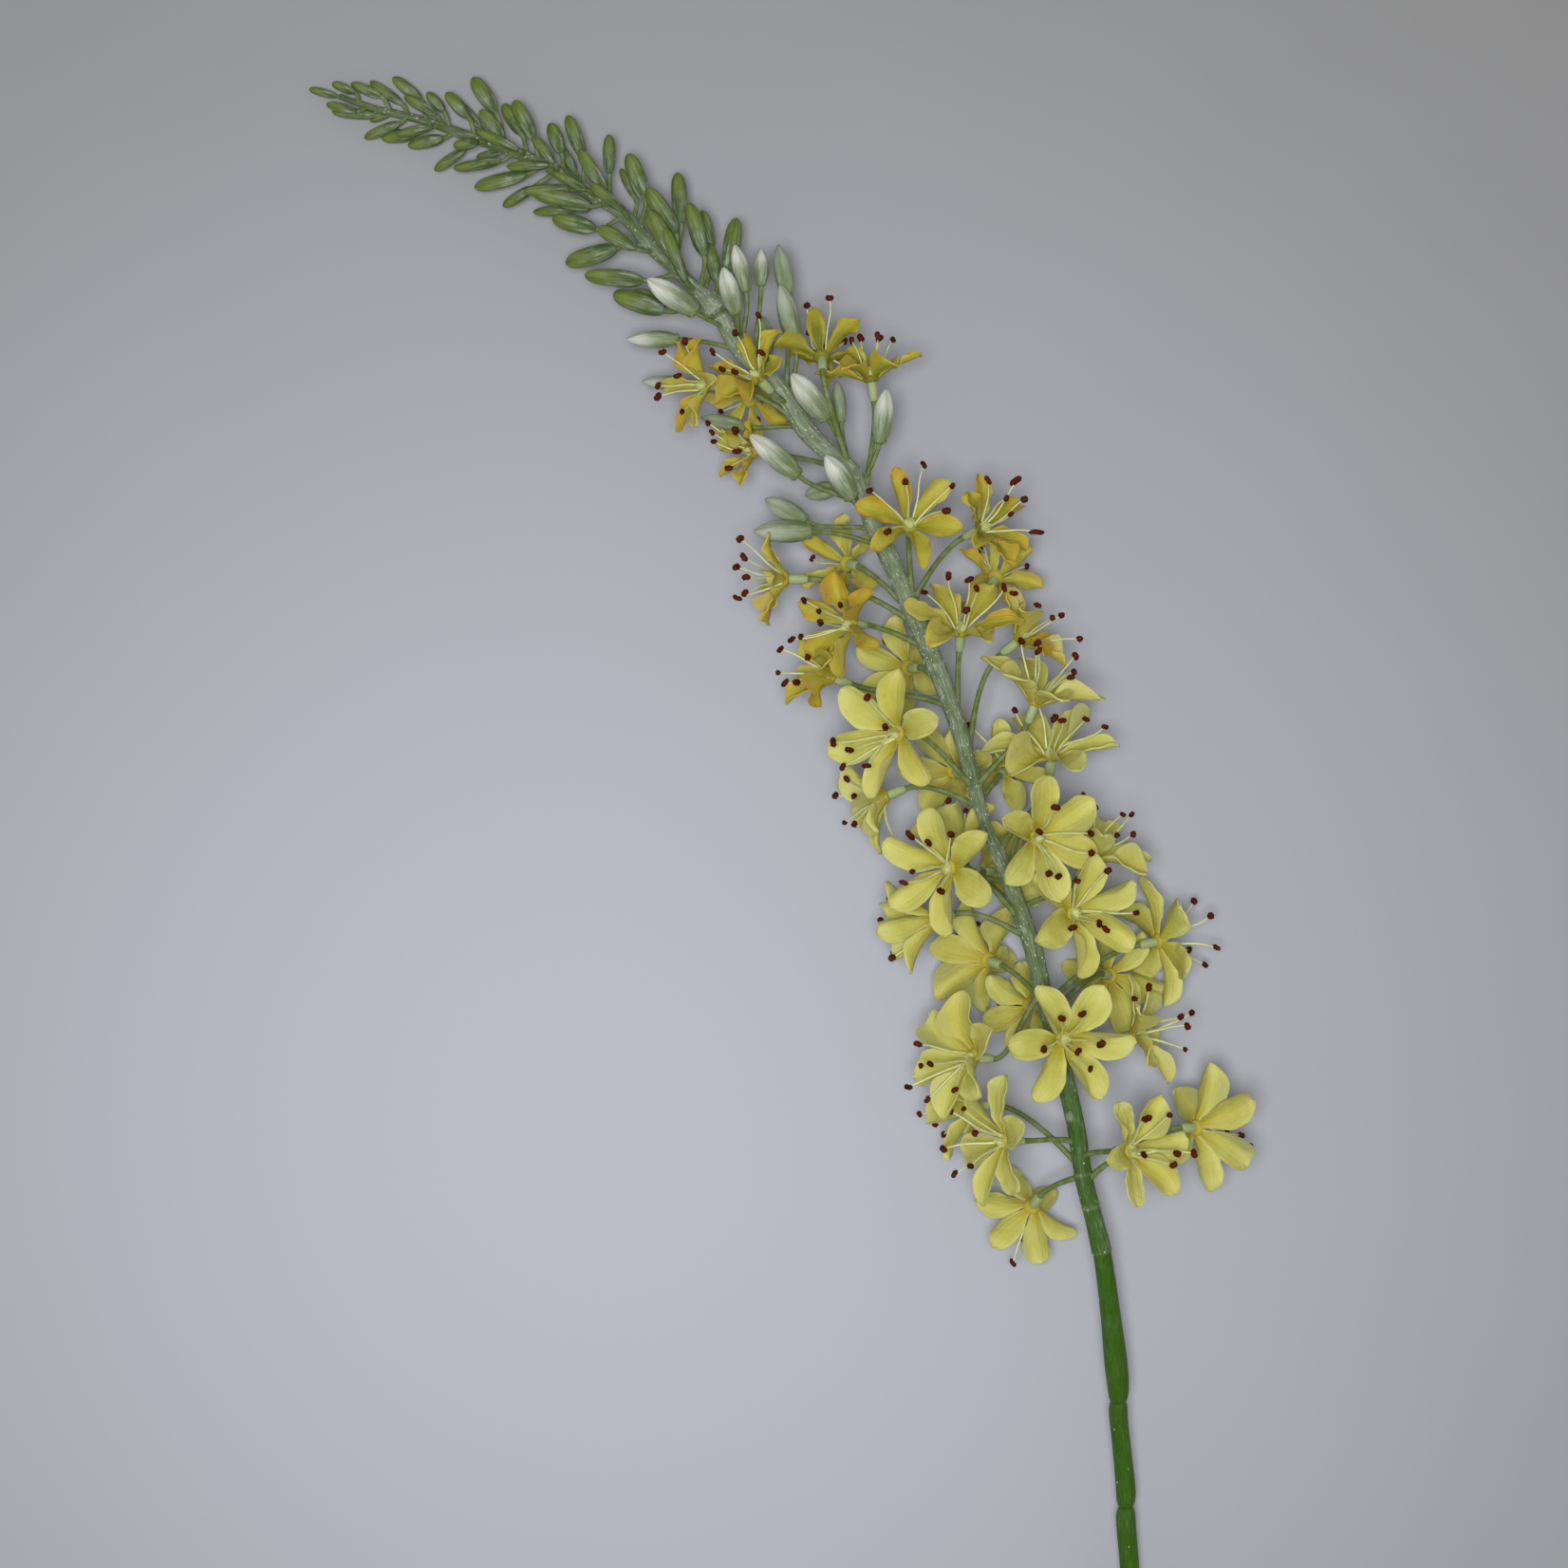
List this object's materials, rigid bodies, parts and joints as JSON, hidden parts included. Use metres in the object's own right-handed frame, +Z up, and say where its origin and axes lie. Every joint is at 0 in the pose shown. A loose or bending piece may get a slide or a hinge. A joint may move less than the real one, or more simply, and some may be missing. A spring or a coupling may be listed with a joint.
{
  "type": "foxtail lily flower spike",
  "caption": "Foxtail lily flower spike lying on a surface: a curved green stalk, open yellow star blooms on thin side stalks, and closed buds at its drooping tip.",
  "frame": {"origin": "middle of the bottom of the whole spike's bounding box, on the surface that it lies on", "axes": "+Z up from the surface, +Y along the spike from the cut end towards the buds, +X to the right seen from above"},
  "size_m": [0.253, 0.4671, 0.068],
  "materials": {
    "stalk": "moulded green stem, matt, with a pale bloom on its upper part",
    "bloom_01": "dyed petal fabric, orange-yellow",
    "bloom_02": "dyed petal fabric, orange-yellow",
    "bloom_03": "dyed petal fabric, orange-yellow",
    "bloom_04": "dyed petal fabric, orange-yellow",
    "bloom_05": "dyed petal fabric, orange-yellow",
    "bloom_06": "dyed petal fabric, orange-yellow",
    "bloom_07": "dyed petal fabric, orange-yellow",
    "bloom_08": "dyed petal fabric, orange-yellow",
    "bloom_09": "dyed petal fabric, orange-yellow",
    "bloom_10": "dyed petal fabric, orange-yellow",
    "bloom_11": "dyed petal fabric, orange-yellow",
    "bloom_12": "dyed petal fabric, pale yellow",
    "bloom_13": "dyed petal fabric, orange-yellow",
    "bloom_14": "dyed petal fabric, orange-yellow",
    "bloom_15": "dyed petal fabric, orange-yellow",
    "bloom_16": "dyed petal fabric, pale yellow",
    "bloom_17": "dyed petal fabric, pale yellow",
    "bloom_18": "dyed petal fabric, pale yellow",
    "bloom_19": "dyed petal fabric, pale yellow",
    "bloom_20": "dyed petal fabric, pale yellow",
    "bloom_21": "dyed petal fabric, pale yellow",
    "bloom_22": "dyed petal fabric, pale yellow",
    "bloom_23": "dyed petal fabric, pale yellow",
    "bloom_24": "dyed petal fabric, pale yellow",
    "bloom_25": "dyed petal fabric, pale yellow",
    "bloom_26": "dyed petal fabric, pale yellow",
    "bloom_27": "dyed petal fabric, pale yellow",
    "bloom_28": "dyed petal fabric, pale yellow",
    "bloom_29": "dyed petal fabric, pale yellow",
    "bloom_30": "dyed petal fabric, pale yellow",
    "bloom_31": "dyed petal fabric, pale yellow",
    "bloom_32": "dyed petal fabric, pale yellow",
    "bloom_33": "dyed petal fabric, pale yellow",
    "bloom_34": "dyed petal fabric, pale yellow",
    "bloom_35": "dyed petal fabric, pale yellow",
    "bloom_36": "dyed petal fabric, pale yellow",
    "bloom_37": "dyed petal fabric, pale yellow",
    "bloom_38": "dyed petal fabric, pale yellow",
    "bloom_39": "dyed petal fabric, pale yellow",
    "bloom_40": "dyed petal fabric, pale yellow",
    "bloom_41": "dyed petal fabric, pale yellow"
  },
  "bodies": {
    "root": {"stalk": "stalk", "bloom_01": "bloom_01", "bloom_02": "bloom_02", "bloom_03": "bloom_03", "bloom_04": "bloom_04", "bloom_05": "bloom_05", "bloom_06": "bloom_06", "bloom_07": "bloom_07", "bloom_08": "bloom_08", "bloom_09": "bloom_09", "bloom_10": "bloom_10", "bloom_11": "bloom_11", "bloom_12": "bloom_12", "bloom_13": "bloom_13", "bloom_14": "bloom_14", "bloom_15": "bloom_15", "bloom_16": "bloom_16", "bloom_17": "bloom_17", "bloom_18": "bloom_18", "bloom_19": "bloom_19", "bloom_20": "bloom_20", "bloom_21": "bloom_21", "bloom_22": "bloom_22", "bloom_23": "bloom_23", "bloom_24": "bloom_24", "bloom_25": "bloom_25", "bloom_26": "bloom_26", "bloom_27": "bloom_27", "bloom_28": "bloom_28", "bloom_29": "bloom_29", "bloom_30": "bloom_30", "bloom_31": "bloom_31", "bloom_32": "bloom_32", "bloom_33": "bloom_33", "bloom_34": "bloom_34", "bloom_35": "bloom_35", "bloom_36": "bloom_36", "bloom_37": "bloom_37", "bloom_38": "bloom_38", "bloom_39": "bloom_39", "bloom_40": "bloom_40", "bloom_41": "bloom_41"}
  },
  "joints": []
}
